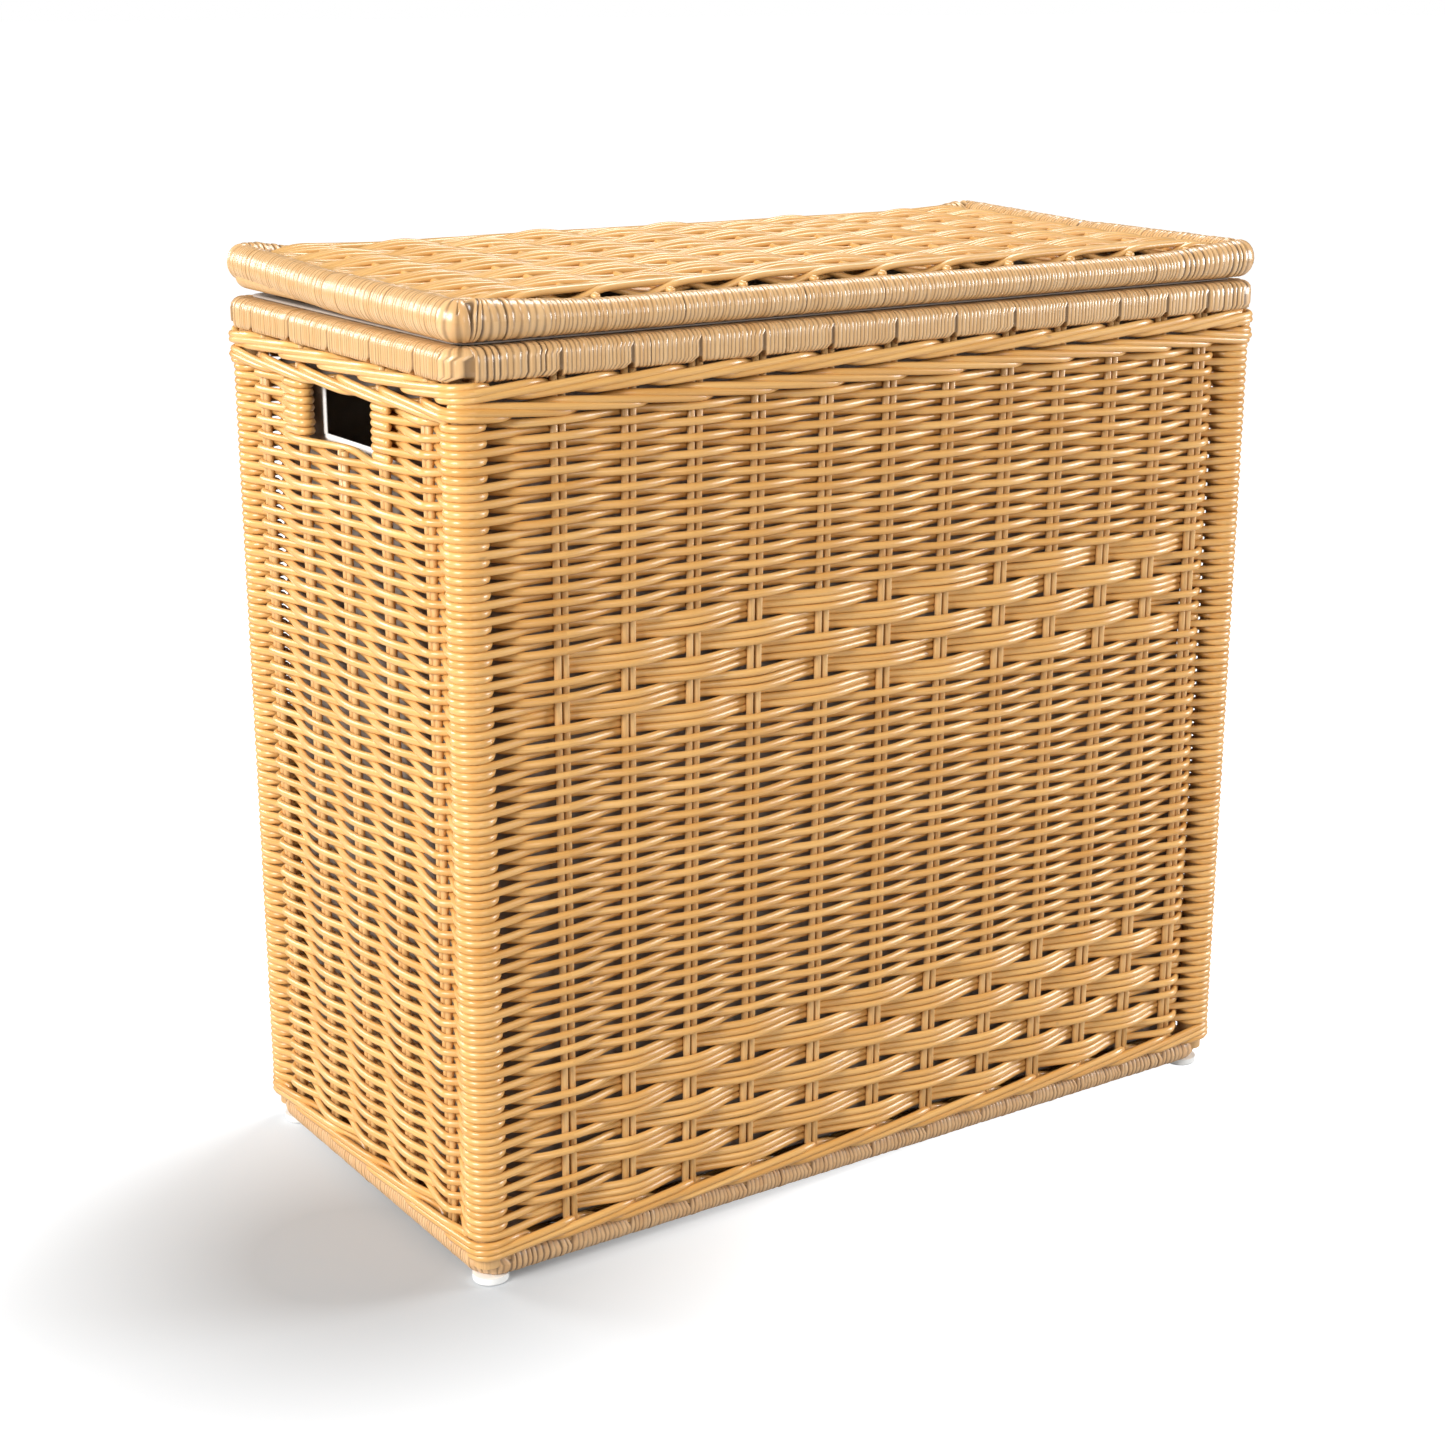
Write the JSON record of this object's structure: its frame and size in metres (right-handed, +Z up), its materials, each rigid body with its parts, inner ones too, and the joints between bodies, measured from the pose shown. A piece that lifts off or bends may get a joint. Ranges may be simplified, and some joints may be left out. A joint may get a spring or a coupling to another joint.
{
  "type": "laundry hamper with lid",
  "caption": "Tall rectangular woven rattan laundry hamper with wrapped pole rims, a hand hole in each end wall, a cotton liner with a white hem and a woven lid on cane loops.",
  "frame": {"origin": "on the floor, under the middle of the hamper", "axes": "+X along the long side towards the right end, +Y towards the back where the lid hinges, +Z up; the front wall faces -Y"},
  "size_m": [0.6066, 0.3066, 0.5875],
  "materials": {
    "reed": "clear lacquered round rattan reed",
    "pole": "lacquered rattan pole",
    "cane": "lacquered flat cane wrapping",
    "cotton": "plain grey-brown cotton, white at the hems",
    "glide": "white plastic",
    "nail": "plain steel nail"
  },
  "bodies": {
    "basket": {"back_stakes": "reed", "back_weave": "reed", "base_binding": "cane", "base_pole": "pole", "corner_post_back_left": "pole", "corner_post_back_right": "pole", "corner_post_front_left": "pole", "corner_post_front_right": "pole", "corner_weave_back_left": "reed", "corner_weave_back_right": "reed", "corner_weave_front_left": "reed", "corner_weave_front_right": "reed", "floor_ribs": "reed", "floor_weave": "reed", "front_stakes": "reed", "front_weave": "reed", "glide_back_left": "glide", "glide_back_right": "glide", "glide_front_left": "glide", "glide_front_right": "glide", "glide_nail_back_left": "nail", "glide_nail_back_right": "nail", "glide_nail_front_left": "nail", "glide_nail_front_right": "nail", "hinge_loop_left": "cane", "hinge_loop_right": "cane", "left_stakes": "reed", "left_weave": "reed", "liner": "cotton", "lower_wale": "reed", "right_stakes": "reed", "right_weave": "reed", "rim_binding": "cane", "rim_pole": "pole", "upper_wale": "reed"},
    "lid": {"lid_pole": "pole", "lid_binding": "cane", "lid_ribs": "reed", "lid_weave": "reed", "lid_border": "reed"}
  },
  "joints": [
    {"name": "lid_hinge", "type": "hinge", "parent": "basket", "child": "lid", "pos_m": [0, 0.142, 0.574], "axis": [-1, 0, 0], "range_deg": [0, 105]}
  ]
}
